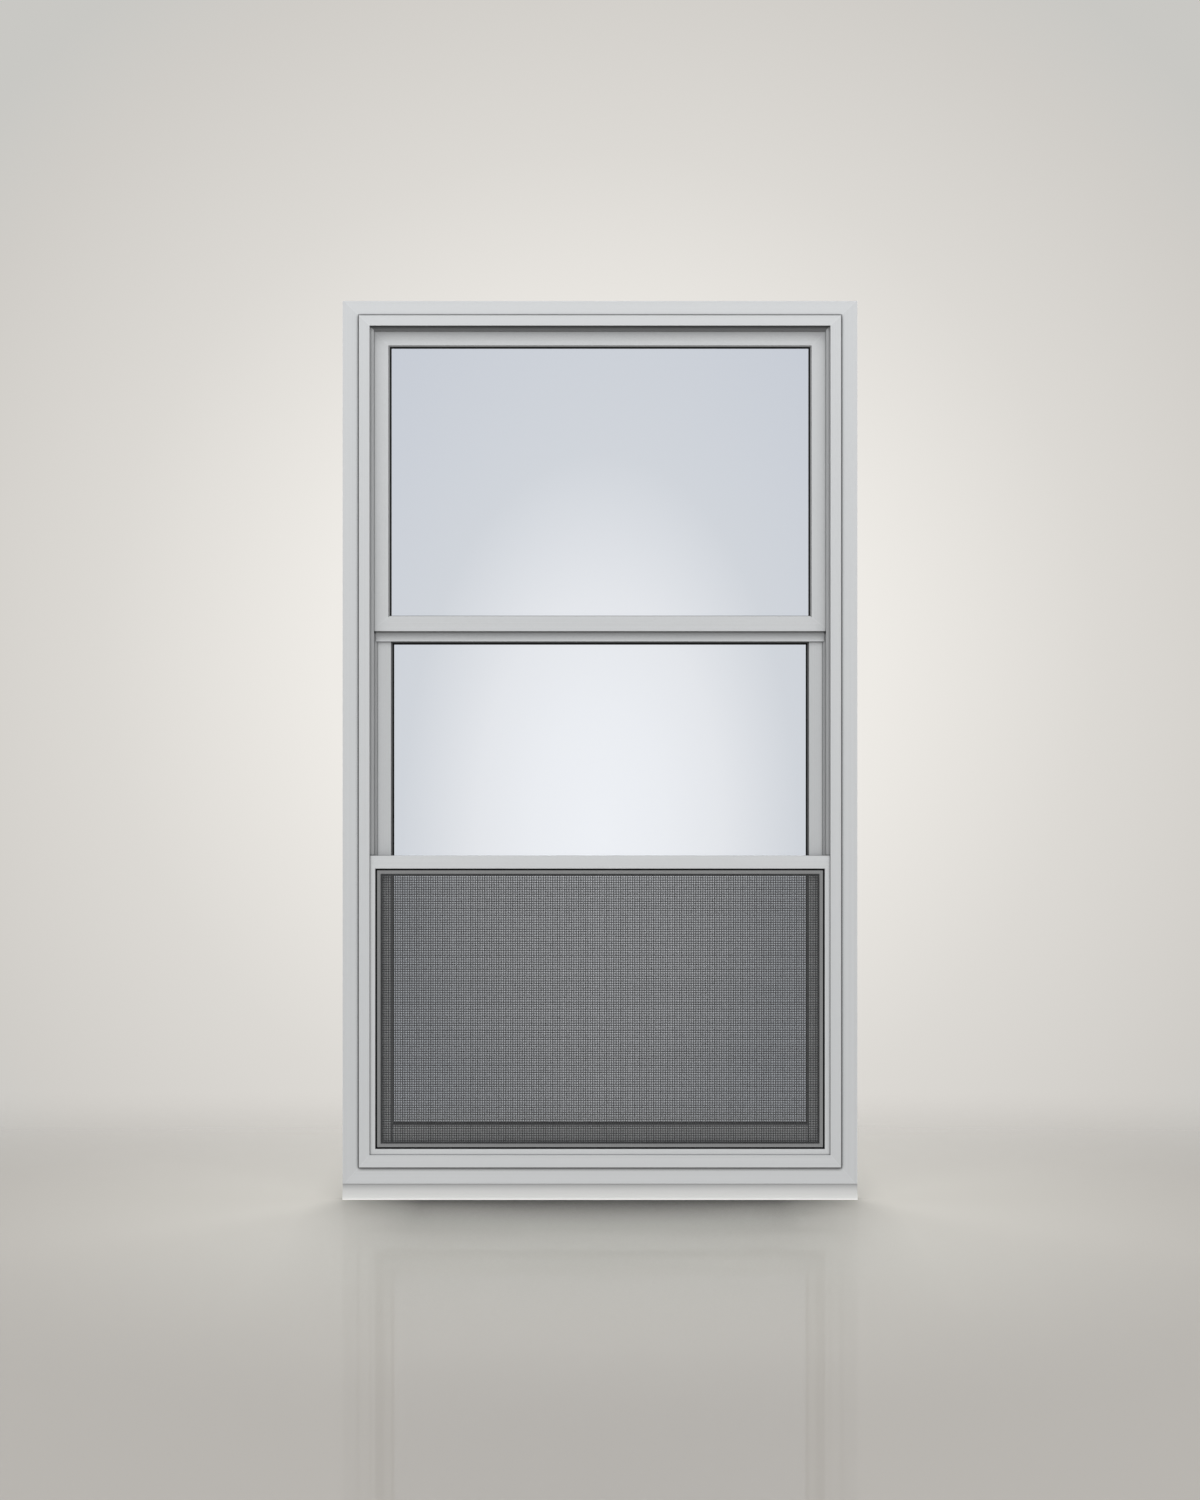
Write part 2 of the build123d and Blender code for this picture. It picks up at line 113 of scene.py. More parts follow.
def give(material, *names):
    """Put a material on solid nodes of the model, by name."""
    for name in names:
        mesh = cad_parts[name].data
        mesh.materials.clear()
        mesh.materials.append(material)
    print(material.name, "on", len(names), "pieces")


# %% [markdown]
# The frame, sashes and screen rails are aluminium pushed hot through a steel die. The die leaves
# fine lines along the bar, and clear anodising keeps them under a thin satin skin. They are much too
# fine to model. So they are a noise that is about a millimetre wide across the bar and about a metre
# long along it.

# %% Die lines along a bar
DIE_LINE_MM = 0.9
DIE_LINE_LENGTH_MM = 900.0


def die_lines(tree, place, along):
    """A noise drawn out into fine lines along X (0) or Z (2)."""
    stretch = [1 / (DIE_LINE_MM * MM)] * 3
    stretch[along] = 1 / (DIE_LINE_LENGTH_MM * MM)
    lines_place = add_node(
        tree, "ShaderNodeMapping", {}, {"Vector": place.outputs["Object"], "Scale": stretch}
    )
    lines = add_node(
        tree, "ShaderNodeTexNoise", {},
        {"Vector": lines_place.outputs["Vector"], "Scale": 1.0, "Detail": 3.0, "Roughness": 0.6},
    )
    return lines.outputs["Fac"]


# %% [markdown]
# Shade is painted into the metal's colour in corners and under lips. Painting it by hand would take
# a picture, so an ambient occlusion node finds such places: aimed straight out it finds the corners,
# and leaned up it finds what lies under a lip.

# %% Painted shade in corners and under lips
OCCLUSION_SAMPLES = 8
CORNER_MM = 4.0
LEAN_UP = (0.0, 0.0, 0.8)
UNDER_LIP_TONE = 0.52


def corner_and_lip_shade(tree, facing, corner_tone, lip_shade_mm):
    """Painted shade factors for the corners, and for what lies under a lip within this reach."""
    corner = add_node(
        tree, "ShaderNodeAmbientOcclusion", {"samples": OCCLUSION_SAMPLES},
        {"Distance": CORNER_MM * MM},
    )
    in_corner = add_node(
        tree, "ShaderNodeMapRange", {},
        {
            "Value": corner.outputs["AO"], "From Min": 0.4, "From Max": 0.95,
            "To Min": corner_tone, "To Max": 1.0,
        },
    )
    leaned = add_node(tree, "ShaderNodeVectorMath", {}, {0: facing.outputs["Normal"], 1: LEAN_UP})
    leaned_up = add_node(
        tree, "ShaderNodeVectorMath", {"operation": "NORMALIZE"}, {0: leaned.outputs["Vector"]}
    )
    overhang = add_node(
        tree, "ShaderNodeAmbientOcclusion", {"samples": OCCLUSION_SAMPLES},
        {"Distance": lip_shade_mm * MM, "Normal": leaned_up.outputs["Vector"]},
    )
    under_lip = add_node(
        tree, "ShaderNodeMapRange", {},
        {
            "Value": overhang.outputs["AO"], "From Min": 0.5, "From Max": 0.88,
            "To Min": UNDER_LIP_TONE, "To Max": 1.0,
        },
    )
    return [in_corner.outputs["Result"], under_lip.outputs["Result"]]


# %% [markdown]
# The tracks and the bevel that slopes back to each pane's vinyl are painted darker too, as shade.
# Depth behind the flange finds the tracks, and tilt finds the bevel, because the front faces look
# straight ahead. Faces that look into the room have none of this painted shade.

# %% Painted shade in tracks and on bevels
TRACK_STARTS_MM = -1
TRACK_DEEP_MM = 5


def track_and_bevel_shade(tree, place, facing, track_tone, bevel_tone):
    """A painted shade factor for the tracks and bevels, left out on the room side."""
    depth = add_node(tree, "ShaderNodeSeparateXYZ", {}, {"Vector": place.outputs["Object"]})
    in_track = add_node(
        tree, "ShaderNodeMapRange", {},
        {
            "Value": depth.outputs["Y"], "From Min": TRACK_STARTS_MM * MM,
            "From Max": TRACK_DEEP_MM * MM, "To Min": 1.0, "To Max": track_tone,
        },
    )
    slope = add_node(tree, "ShaderNodeSeparateXYZ", {}, {"Vector": facing.outputs["True Normal"]})
    on_bevel = add_node(
        tree, "ShaderNodeMapRange", {},
        {
            "Value": slope.outputs["Y"], "From Min": -0.99, "From Max": -0.95,
            "To Min": 1.0, "To Max": bevel_tone,
        },
    )
    darkened = add_node(
        tree, "ShaderNodeMath", {"operation": "MULTIPLY"},
        {0: in_track.outputs["Result"], 1: on_bevel.outputs["Result"]},
    )
    room_side = add_node(
        tree, "ShaderNodeMapRange", {},
        {
            "Value": slope.outputs["Y"], "From Min": 0.1, "From Max": 0.3,
            "To Min": darkened.outputs["Value"], "To Max": 1.0,
        },
    )
    return room_side.outputs["Result"]


# %% [markdown]
# Outer edges get a painted highlight. Ambient occlusion finds those, when it looks from inside the
# metal: an edge has little metal behind it.

# %% Painted highlights on edges
EDGE_MM = 1.0
EDGE_HIGHLIGHT_TONE = 1.1


def edge_highlights(tree):
    """A painted highlight: a tone factor above 1 along outer edges."""
    edge = add_node(
        tree, "ShaderNodeAmbientOcclusion",
        {"samples": OCCLUSION_SAMPLES, "inside": True, "only_local": True},
        {"Distance": EDGE_MM * MM},
    )
    highlight = add_node(
        tree, "ShaderNodeMapRange", {},
        {
            "Value": edge.outputs["AO"], "From Min": 0.5, "From Max": 0.95,
            "To Min": EDGE_HIGHLIGHT_TONE, "To Max": 1.0,
        },
    )
    return highlight.outputs["Result"]


# %% [markdown]
# The finish puts these together. The die lines change the tone by a few percent and the roughness by
# a little more, and raise a very shallow bump, which makes the metal's sheen run along the bar. The
# painted shade and the painted edge highlights multiply the tone. The skin is a clear oxide, so a
# little of the light comes back diffuse, and the metallic share is under 1.

# %% Anodised aluminium
NOISE_LOW = 0.3
NOISE_HIGH = 0.7
TONE_LOW = 0.94
TONE_HIGH = 1.03
METALLIC_SHARE = 0.8
ROUGHNESS_LOW = 0.40
ROUGHNESS_HIGH = 0.52
DIE_LINE_RELIEF_MM = 0.01


def anodised_aluminium(name, colour, along, track_tone, corner_tone, lip_shade_mm, bevel_tone=0.5):
    """Satin anodised aluminium, its die lines along X (0) or Z (2), with painted shade and highlights."""
    material, output = new_material(name)
    tree = material.node_tree
    place = add_node(tree, "ShaderNodeTexCoord")
    facing = add_node(tree, "ShaderNodeNewGeometry")
    lines = die_lines(tree, place, along)
    tone = add_node(
        tree, "ShaderNodeMapRange", {},
        {
            "Value": lines, "From Min": NOISE_LOW, "From Max": NOISE_HIGH,
            "To Min": TONE_LOW, "To Max": TONE_HIGH,
        },
    )
    shades = corner_and_lip_shade(tree, facing, corner_tone, lip_shade_mm)
    shades.append(track_and_bevel_shade(tree, place, facing, track_tone, bevel_tone))
    shades.append(edge_highlights(tree))
    factor = tone.outputs["Result"]
    for shade in shades:
        product = add_node(tree, "ShaderNodeMath", {"operation": "MULTIPLY"}, {0: factor, 1: shade})
        factor = product.outputs["Value"]
    tinted = add_node(
        tree, "ShaderNodeVectorMath", {"operation": "SCALE"}, {0: linear(colour)[:3], "Scale": factor}
    )
    sheen = add_node(
        tree, "ShaderNodeMapRange", {},
        {
            "Value": lines, "From Min": NOISE_LOW, "From Max": NOISE_HIGH,
            "To Min": ROUGHNESS_LOW, "To Max": ROUGHNESS_HIGH,
        },
    )
    relief = add_node(
        tree, "ShaderNodeBump", {},
        {"Height": lines, "Strength": 0.25, "Distance": DIE_LINE_RELIEF_MM * MM},
    )
    skin = add_node(
        tree, "ShaderNodeBsdfPrincipled", {},
        {
            "Base Color": tinted.outputs["Vector"], "Metallic": METALLIC_SHARE,
            "Roughness": sheen.outputs["Result"], "Normal": relief.outputs["Normal"],
        },
    )
    tree.links.new(skin.outputs["BSDF"], output.inputs["Surface"])
    return material


# %% [markdown]
# Rails lie along X and stiles stand along Z, and their names tell which is which. The lower sash
# stands furthest back, so its metal and bevels are painted darker, as shade, and its painted shade
# under lips has a shorter reach. The four sides of the frame have shallow lips, and the tracks behind
# them get the darkest painted shade, darker in the head and sill than in the jambs. The head and sill
# are also painted a little lighter than the jambs: painted light.

# %% Metal on the sashes, the screen's rails and the frame
for run, axis, word in (("rails", 0, "_rail"), ("stiles", 2, "_stile")):
    bars = [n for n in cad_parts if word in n]
    inner = [n for n in bars if n.startswith("lower_sash")]
    outer = [n for n in bars if n not in inner]
    outer_metal = anodised_aluminium(
        "anodised_aluminium_" + run, "#bfc1c3", axis,
        track_tone=1.0, corner_tone=0.5, lip_shade_mm=40.0,
    )
    give(outer_metal, *outer)
    inner_metal = anodised_aluminium(
        "anodised_aluminium_inner_" + run, "#b7b9bb", axis,
        track_tone=1.0, corner_tone=0.5, lip_shade_mm=15.0, bevel_tone=0.25,
    )
    give(inner_metal, *inner)
head_sill_metal = anodised_aluminium(
    "anodised_aluminium_head_sill", "#c3c5c7", 0,
    track_tone=0.22, corner_tone=0.35, lip_shade_mm=6.0,
)
give(head_sill_metal, "frame_head", "frame_sill")
jamb_metal = anodised_aluminium(
    "anodised_aluminium_jambs", "#c0c2c4", 2,
    track_tone=0.65, corner_tone=0.3, lip_shade_mm=6.0,
)
give(jamb_metal, "frame_jamb_left", "frame_jamb_right")

# %% [markdown]
# The sill expander is the same metal with baked white enamel over it. Enamel is smooth and hides
# the die lines, with a very fine ripple from the spray that softens its highlights. A soft grey
# shadow under the flange is painted into its colour, and thins out down to the nose. The height on
# the piece sets that tone, on a curve that starts slowly.

# %% Baked white enamel
RIPPLE_MM = 1.6
RIPPLE_RELIEF_MM = 0.01
FLANGE_SHADOW_MM = 24.0
FLANGE_SHADOW_CURVE = 1.3
ENAMEL_ROUGHNESS = 0.34
RESIN_IOR = 1.5


def baked_enamel(name, colour_in_light, colour_in_shadow, top):
    """Semi-gloss white enamel with a fine spray ripple, and a painted shadow below the height called top.
    """
    material, output = new_material(name)
    tree = material.node_tree
    place = add_node(tree, "ShaderNodeTexCoord")
    ripple = add_node(
        tree, "ShaderNodeTexNoise", {},
        {"Vector": place.outputs["Object"], "Scale": 1 / (RIPPLE_MM * MM), "Detail": 2.0},
    )
    relief = add_node(
        tree, "ShaderNodeBump", {},
        {"Height": ripple.outputs["Fac"], "Strength": 0.2, "Distance": RIPPLE_RELIEF_MM * MM},
    )
    height = add_node(tree, "ShaderNodeSeparateXYZ", {}, {"Vector": place.outputs["Object"]})
    below = add_node(
        tree, "ShaderNodeMapRange", {},
        {"Value": height.outputs["Z"], "From Min": top, "From Max": top - FLANGE_SHADOW_MM * MM},
    )
    out_of_shadow = add_node(
        tree, "ShaderNodeMath", {"operation": "POWER"}, {0: below.outputs["Result"], 1: FLANGE_SHADOW_CURVE}
    )
    tone = add_node(
        tree, "ShaderNodeMix", {"data_type": "RGBA"},
        {0: out_of_shadow.outputs["Value"], 6: linear(colour_in_shadow), 7: linear(colour_in_light)},
    )
    skin = add_node(
        tree, "ShaderNodeBsdfPrincipled", {},
        {
            "Base Color": tone.outputs[2], "Roughness": ENAMEL_ROUGHNESS, "IOR": RESIN_IOR,
            "Normal": relief.outputs["Normal"],
        },
    )
    tree.links.new(skin.outputs["BSDF"], output.inputs["Surface"])
    return material


flange_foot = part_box("frame_sill")[0].z
give(baked_enamel("baked_enamel_white", "#fafaf8", "#9b9c9d", flange_foot), "sill_expander")

# %% [markdown]
# The glass is held in black flexible vinyl, and the screen by a black vinyl spline. Soft vinyl is
# matt and a little uneven, so its roughness is high and moves with a fine noise. Both lie deep in
# narrow grooves, which hold dull dust and hide the sky, so they get little of an open surface's
# shine. The pile weatherstrip is a brush and has little too, but the nylon catches have it all.

# %% Flexible vinyl, pile and nylon
GRAIN_RELIEF_MM = 0.05


def soft_black(name, colour, roughness, grain_mm, shine):
    """A dark matt moulded or woven stuff with a fine grain; shine is 0.5 for an open surface."""
    material, output = new_material(name)
    tree = material.node_tree
    place = add_node(tree, "ShaderNodeTexCoord")
    grain = add_node(
        tree, "ShaderNodeTexNoise", {},
        {"Vector": place.outputs["Object"], "Scale": 1 / (grain_mm * MM), "Detail": 2.0},
    )
    dullness = add_node(
        tree, "ShaderNodeMapRange", {},
        {"Value": grain.outputs["Fac"], "To Min": roughness - 0.1, "To Max": roughness + 0.1},
    )
    relief = add_node(
        tree, "ShaderNodeBump", {},
        {"Height": grain.outputs["Fac"], "Strength": 0.4, "Distance": GRAIN_RELIEF_MM * MM},
    )
    skin = add_node(
        tree, "ShaderNodeBsdfPrincipled", {},
        {
            "Base Color": linear(colour), "Roughness": dullness.outputs["Result"], "IOR": RESIN_IOR,
            "Specular IOR Level": shine, "Normal": relief.outputs["Normal"],
        },
    )
    tree.links.new(skin.outputs["BSDF"], output.inputs["Surface"])
    return material


vinyl = soft_black("flexible_vinyl_black", "#08090a", roughness=0.6, grain_mm=0.6, shine=0.1)
# The screen's inner bead is a black strip where the frame shows a line of shade: painted shade.
give(vinyl, *[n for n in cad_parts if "gasket" in n or "spline" in n or "bead" in n])
pile = soft_black("woven_pile_grey", "#55575a", roughness=0.9, grain_mm=0.4, shine=0.2)
give(pile, *[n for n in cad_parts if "pile" in n])
nylon = soft_black("moulded_nylon_black", "#1c1d1f", roughness=0.45, grain_mm=1.0, shine=0.5)
give(nylon, *[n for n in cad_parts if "bolt" in n or "latch" in n])

# %% [markdown]
# Window glass is float glass, 3 mm thick, with a slight blue cast. It bends light little and shows
# what is behind it, so it is a smooth transmitting shader. Lamps would throw a full shadow from it,
# which real glass doesn't, so rays that look for a lamp go through a plain transparent shader.

# %% Float glass
GLASS_IOR = 1.5


def float_glass(name, colour):
    """Clear float glass that lets lamps through."""
    material, output = new_material(name)
    tree = material.node_tree
    pane = add_node(
        tree, "ShaderNodeBsdfPrincipled", {},
        {"Base Color": linear(colour), "Roughness": 0.0, "IOR": GLASS_IOR, "Transmission Weight": 1.0},
    )
    clear = add_node(tree, "ShaderNodeBsdfTransparent", {}, {"Color": linear(colour)})
    ray = add_node(tree, "ShaderNodeLightPath")
    shown = add_node(
        tree, "ShaderNodeMixShader", {},
        {0: ray.outputs["Is Shadow Ray"], 1: pane.outputs["BSDF"], 2: clear.outputs["BSDF"]},
    )
    tree.links.new(shown.outputs["Shader"], output.inputs["Surface"])
    return material


give(float_glass("float_glass", "#f7fafc"), "upper_glass", "lower_glass")

# %% [markdown]
# The insect screen is woven from charcoal glass-fibre yarn in a vinyl coat, about 1.6 mm apart. A
# bump on a sheet would not let the window behind it through, so the yarns are real, each a long
# four-sided bar. A pitch so fine is less than a pixel of the picture and blurs to plain grey. So the
# yarns lie a little further apart and go in pairs, a wide one beside a narrow one, which shows as a
# faint grid. No two sit exactly a pitch apart, which gives the plaid of a real screen: a small seeded
# change in place and width does that.

# %% The yarns that run one way
YARN_PITCH_MM = 1.85
YARN_WIDTH_MM = 1.04
PAIR_SHIFT_MM = 0.13
PAIR_CHANGE = 0.42
YARN_SHIFT_MM = 0.04
YARN_CHANGE = 0.05
random.seed(7)


def yarn_bars(along, low, high, y_low, y_high):
    """Vertices and faces of all the yarns that run along one axis, 0 for X or 2 for Z."""
    cross = 2 - along
    count = round((high[cross] - low[cross]) / (YARN_PITCH_MM * MM))
    pitch = (high[cross] - low[cross]) / count
    points, faces = [], []
    for i in range(count):
        turn = 1 if i % 2 else -1
        middle = low[cross] + (i + 0.5) * pitch + turn * PAIR_SHIFT_MM * MM
        middle += random.uniform(-1, 1) * YARN_SHIFT_MM * MM
        half = YARN_WIDTH_MM * MM / 2 * (1 + turn * PAIR_CHANGE)
        half *= random.uniform(1 - YARN_CHANGE, 1 + YARN_CHANGE)
        first = len(points)
        for end in (low[along], high[along]):
            for side, y in ((-half, y_low), (half, y_low), (half, y_high), (-half, y_high)):
                point = [0.0, y, 0.0]
                point[along] = end
                point[cross] = middle + side
                points.append(point)
        ring = [first, first + 1, first + 2, first + 3]
        faces.append(ring[::-1])
        faces.append([corner + 4 for corner in ring])
        for a, b in ((0, 1), (1, 2), (2, 3), (3, 0)):
            faces.append([ring[a], ring[b], ring[b] + 4, ring[a] + 4])
    return points, faces


# %% [markdown]
# The solid model has a thin sheet where the mesh goes, and the weave fills that sheet's box: the
# upright yarns take its front half and the yarns across its back half, so that they touch and don't
# cut through each other.

# %% Weave the insect screen
def woven_screen():
    """One mesh with the upright yarns in front and the yarns across behind them."""
    low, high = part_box("screen_mesh")
    middle_y = (low.y + high.y) / 2
    points, faces = yarn_bars(2, low, high, low.y, middle_y)
    more_points, more_faces = yarn_bars(0, low, high, middle_y, high.y)
    start = len(points)
    points += more_points
    faces += [[corner + start for corner in face] for face in more_faces]
    mesh = bpy.data.meshes.new("woven_insect_screen")
    mesh.from_pydata(points, [], faces)
    mesh.validate()
    piece = bpy.data.objects.new("woven_insect_screen", mesh)
    bpy.context.scene.collection.objects.link(piece)
    return piece


screen = woven_screen()
print("yarn faces:", len(screen.data.polygons))

# %% [markdown]
# The yarn isn't all one tone. Batches of coating differ a little, so its tone moves in bands, one
# set across and one down, which a noise stretched either way gives. A colour ramp turns the noise
# into a tone. A ramp's stops aren't inputs of its node, so a small function sets them.

# %% Plaid tone of the yarn
BAND_LENGTH_M = 0.5


def set_stops(ramp, *stops):
    """Set a colour ramp's stops, each a position and a hex colour, and give its colour socket."""
    elements = ramp.color_ramp.elements
    for element, (position, colour) in zip(elements, (stops[0], stops[-1])):
        element.position = position
        element.color = linear(colour)
    for position, colour in stops[1:-1]:
        elements.new(position).color = linear(colour)
    return ramp.outputs["Color"]


def plaid_tone(tree, place, dark, light):
    """A colour between dark and light, in uneven bands across and down."""
    fine = 1 / (YARN_PITCH_MM * MM)
    drawn_out = 1 / BAND_LENGTH_M
    bands = []
    for scale in ((fine, 0.0, drawn_out), (drawn_out, 0.0, fine)):
        stretched = add_node(
            tree, "ShaderNodeMapping", {}, {"Vector": place.outputs["Object"], "Scale": scale}
        )
        band = add_node(
            tree, "ShaderNodeTexNoise", {},
            {"Vector": stretched.outputs["Vector"], "Scale": 0.9, "Detail": 2.0, "Roughness": 0.7},
        )
        bands.append(band.outputs["Fac"])
    both = add_node(tree, "ShaderNodeMath", {"operation": "ADD"}, {0: bands[0], 1: bands[1]})
    spread = add_node(
        tree, "ShaderNodeMapRange", {},
        {"Value": both.outputs["Value"], "From Min": 0.7, "From Max": 1.3},
    )
    tone = add_node(tree, "ShaderNodeValToRGB", {}, {"Fac": spread.outputs["Result"]})
    return set_stops(tone, (0.0, dark), (1.0, light))


# %% [markdown]
# The yarn is painted lighter along its border, over the frame's leg beside the vinyl line that holds
# it: painted light that stands in for the lit leg seen through the weave. How far a point is from the
# nearest side of the sheet finds that border.

# %% Painted light along the border
LEG_BAND_MM = 4.6
LEG_BAND_FADE_MM = 1


def leg_light_border(tree, place):
    """A factor of 1 within the lighter border of the mesh, and 0 inside it."""
    low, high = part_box("screen_mesh")
    middle, reach = (low + high) / 2, (high - low) / 2
    from_middle = add_node(
        tree, "ShaderNodeVectorMath", {"operation": "SUBTRACT"}, {0: place.outputs["Object"], 1: middle}
    )
    outwards = add_node(
        tree, "ShaderNodeVectorMath", {"operation": "ABSOLUTE"}, {0: from_middle.outputs["Vector"]}
    )
    to_border = add_node(
        tree, "ShaderNodeVectorMath", {"operation": "SUBTRACT"},
        {0: outwards.outputs["Vector"], 1: reach},
    )
    parts = add_node(tree, "ShaderNodeSeparateXYZ", {}, {"Vector": to_border.outputs["Vector"]})
    nearest = add_node(
        tree, "ShaderNodeMath", {"operation": "MAXIMUM"}, {0: parts.outputs["X"], 1: parts.outputs["Z"]}
    )
    over_leg = add_node(
        tree, "ShaderNodeMapRange", {},
        {
            "Value": nearest.outputs["Value"],
            "From Min": -(LEG_BAND_MM + LEG_BAND_FADE_MM) * MM, "From Max": -LEG_BAND_MM * MM,
        },
    )
    return over_leg.outputs["Result"]


# %% [markdown]
# The coat itself is soft vinyl, matt and with little shine. Real yarns are thinner than these and
# dim the sash behind them less. So rays that look for a lamp go partly through them, and rays that
# light or mirror in a surface pass them by.

# %% Vinyl-coated glass-fibre yarn
YARN_ROUGHNESS = 0.6
YARN_SHINE = 0.25
YARN_PASSES_LAMPS = "#d8d8d8"


def coated_yarn(name, dark, light, over_leg_colour):
    """Vinyl-coated yarn, its tone in uneven bands across and down, painted lighter along the border."""
    material, output = new_material(name)
    tree = material.node_tree
    place = add_node(tree, "ShaderNodeTexCoord")
    coat = add_node(
        tree, "ShaderNodeMix", {"data_type": "RGBA"},
        {0: leg_light_border(tree, place), 6: plaid_tone(tree, place, dark, light), 7: linear(over_leg_colour)},
    )
    skin = add_node(
        tree, "ShaderNodeBsdfPrincipled", {},
        {
            "Base Color": coat.outputs[2], "Roughness": YARN_ROUGHNESS, "IOR": RESIN_IOR,
            "Specular IOR Level": YARN_SHINE,
        },
    )
    passed = add_node(tree, "ShaderNodeBsdfTransparent", {}, {"Color": linear(YARN_PASSES_LAMPS)})
    ray = add_node(tree, "ShaderNodeLightPath")
    shown = add_node(
        tree, "ShaderNodeMixShader", {},
        {0: ray.outputs["Is Shadow Ray"], 1: skin.outputs["BSDF"], 2: passed.outputs["BSDF"]},
    )
    tree.links.new(shown.outputs["Shader"], output.inputs["Surface"])
    return material


yarn = coated_yarn("vinyl_coated_glass_fibre", dark="#2c2d2e", light="#404143", over_leg_colour="#838485")
screen.data.materials.append(yarn)
screen.visible_diffuse = False
screen.visible_glossy = False

# %% [markdown]
# The woven screen stands for the solid model's thin sheet. It is cloth cut to the size between the
# grooves of its frame and stretched over the two rails and two stiles.

# %% Put the screen in the model
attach(screen, "root")
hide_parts("screen_mesh")

# %% [markdown]
# The camera stands far off and dead level with the middle of the picture, so the view is almost
# without perspective, as in a catalogue. A long lens keeps the window the same size in the picture.

# %% Camera
PICTURE_HEIGHT_MM = 2369.3
PICTURE_HEIGHT_PX = 1500
CAMERA_DISTANCE_MM = 8000.0
PICTURE_CENTRE_BELOW_TOP_MM = 709.1
SENSOR_MM = 36.0
CAMERA_SEES_M = 100.0

camera = bpy.data.objects.new("camera", bpy.data.cameras.new("camera"))
bpy.context.scene.collection.objects.link(camera)
bpy.context.scene.camera = camera
camera.data.sensor_width = SENSOR_MM
camera.data.lens = SENSOR_MM * CAMERA_DISTANCE_MM / PICTURE_HEIGHT_MM
centre_z = model_high.z - PICTURE_CENTRE_BELOW_TOP_MM * MM
camera.location = (0.0, -CAMERA_DISTANCE_MM * MM, centre_z)
camera.rotation_euler = (math.radians(90), 0.0, 0.0)
camera.data.clip_end = CAMERA_SEES_M
print("lens in mm:", round(camera.data.lens))

# %% [markdown]
# The studio is a pale sweep: a floor that runs into the background with no line. The background is
# painted on the world by direction, so it has no object to get in the way. A glow is a distance from
# one direction, with a colour ramp over it.

# %% Start the world
PIXEL_SLOPE = PICTURE_HEIGHT_MM / PICTURE_HEIGHT_PX / CAMERA_DISTANCE_MM

world = bpy.data.worlds.new("studio")
bpy.context.scene.world = world
world.use_nodes = True
sky = world.node_tree
sky.nodes.clear()
towards = add_node(sky, "ShaderNodeTexCoord").outputs["Generated"]


def glow(rise_px, reach_px, tall, *stops):
    """A round glow behind the window, its centre this far above the middle of the picture."""
    from_centre = add_node(
        sky, "ShaderNodeVectorMath", {"operation": "SUBTRACT"},
        {0: towards, 1: (0.0, 0.0, rise_px * PIXEL_SLOPE)},
    )
    flat = add_node(
        sky, "ShaderNodeVectorMath", {"operation": "MULTIPLY"},
        {0: from_centre.outputs["Vector"], 1: (1.0, 0.0, 1.0 / tall)},
    )
    away = add_node(sky, "ShaderNodeVectorMath", {"operation": "LENGTH"}, {0: flat.outputs["Vector"]})
    spread = add_node(
        sky, "ShaderNodeMapRange", {},
        {"Value": away.outputs["Value"], "From Min": 0.0, "From Max": reach_px * PIXEL_SLOPE},
    )
    colour = add_node(sky, "ShaderNodeValToRGB", {}, {"Fac": spread.outputs["Result"]})
    return set_stops(colour, *stops)


print("slope of one pixel of the picture:", round(PIXEL_SLOPE, 6))

# %% [markdown]
# The background is brightest behind the window and greyer outwards, and a second ramp darkens it
# downwards, where the floor begins.

# %% Background of the picture
LOWER_EDGE_STARTS_PX = 395
LOWER_EDGE_ENDS_PX = 640

backdrop = glow(
    100, 800, 1.0,
    (0.0, "#f4f1ec"), (0.34, "#eeebe6"), (0.62, "#dcd9d4"), (0.87, "#d0cdc8"), (1.0, "#c9c8c4"),
)
level = add_node(sky, "ShaderNodeSeparateXYZ", {}, {"Vector": towards}).outputs["Z"]
low_down = add_node(
    sky, "ShaderNodeMapRange", {"interpolation_type": "SMOOTHSTEP"},
    {
        "Value": level, "From Min": -LOWER_EDGE_STARTS_PX * PIXEL_SLOPE,
        "From Max": -LOWER_EDGE_ENDS_PX * PIXEL_SLOPE,
    },
)
darker = add_node(sky, "ShaderNodeValToRGB", {}, {"Fac": low_down.outputs["Result"]})
swept = add_node(
    sky, "ShaderNodeMix", {"data_type": "RGBA", "blend_type": "MULTIPLY"},
    {"Factor": 1.0, 6: backdrop, 7: set_stops(darker, (0.0, "#ffffff"), (1.0, "#ebe8e5"))},
)

# %% [markdown]
# Glass shows a cooler sky than the background, brightest just below the middle of the picture: a
# painted reflection in the panes, which rays through the glass see. The light that falls on surfaces
# comes from a plain world of neutral greys, palest from the horizon to a little above it and dimmer
# overhead and below, so a colour renders about as it is written.

# %% Sky through the glass, and light for surfaces
WORLD_LIGHT = 1.1

painted_glass_sky = glow(
    -80, 330, 1.9,
    (0.0, "#f5f5f8"), (0.2, "#f1f1f4"), (0.37, "#eaeaed"), (0.6, "#d5d7dc"), (1.0, "#cbced6"),
)
height = add_node(
    sky, "ShaderNodeMapRange", {}, {"Value": level, "From Min": -1.0, "From Max": 1.0}
)
lit_colour = set_stops(
    add_node(sky, "ShaderNodeValToRGB", {}, {"Fac": height.outputs["Result"]}),
    (0.0, "#a0a0a0"), (0.45, "#bcbcbc"), (0.5, "#f4f4f4"), (0.63, "#f0f0f0"), (0.76, "#a8a8a8"),
    (1.0, "#6c6c6c"),
)

# %% [markdown]
# One light path node tells the three apart: rays from the camera see the background, rays that come
# through glass see the painted sky of the panes, and all others find the light.

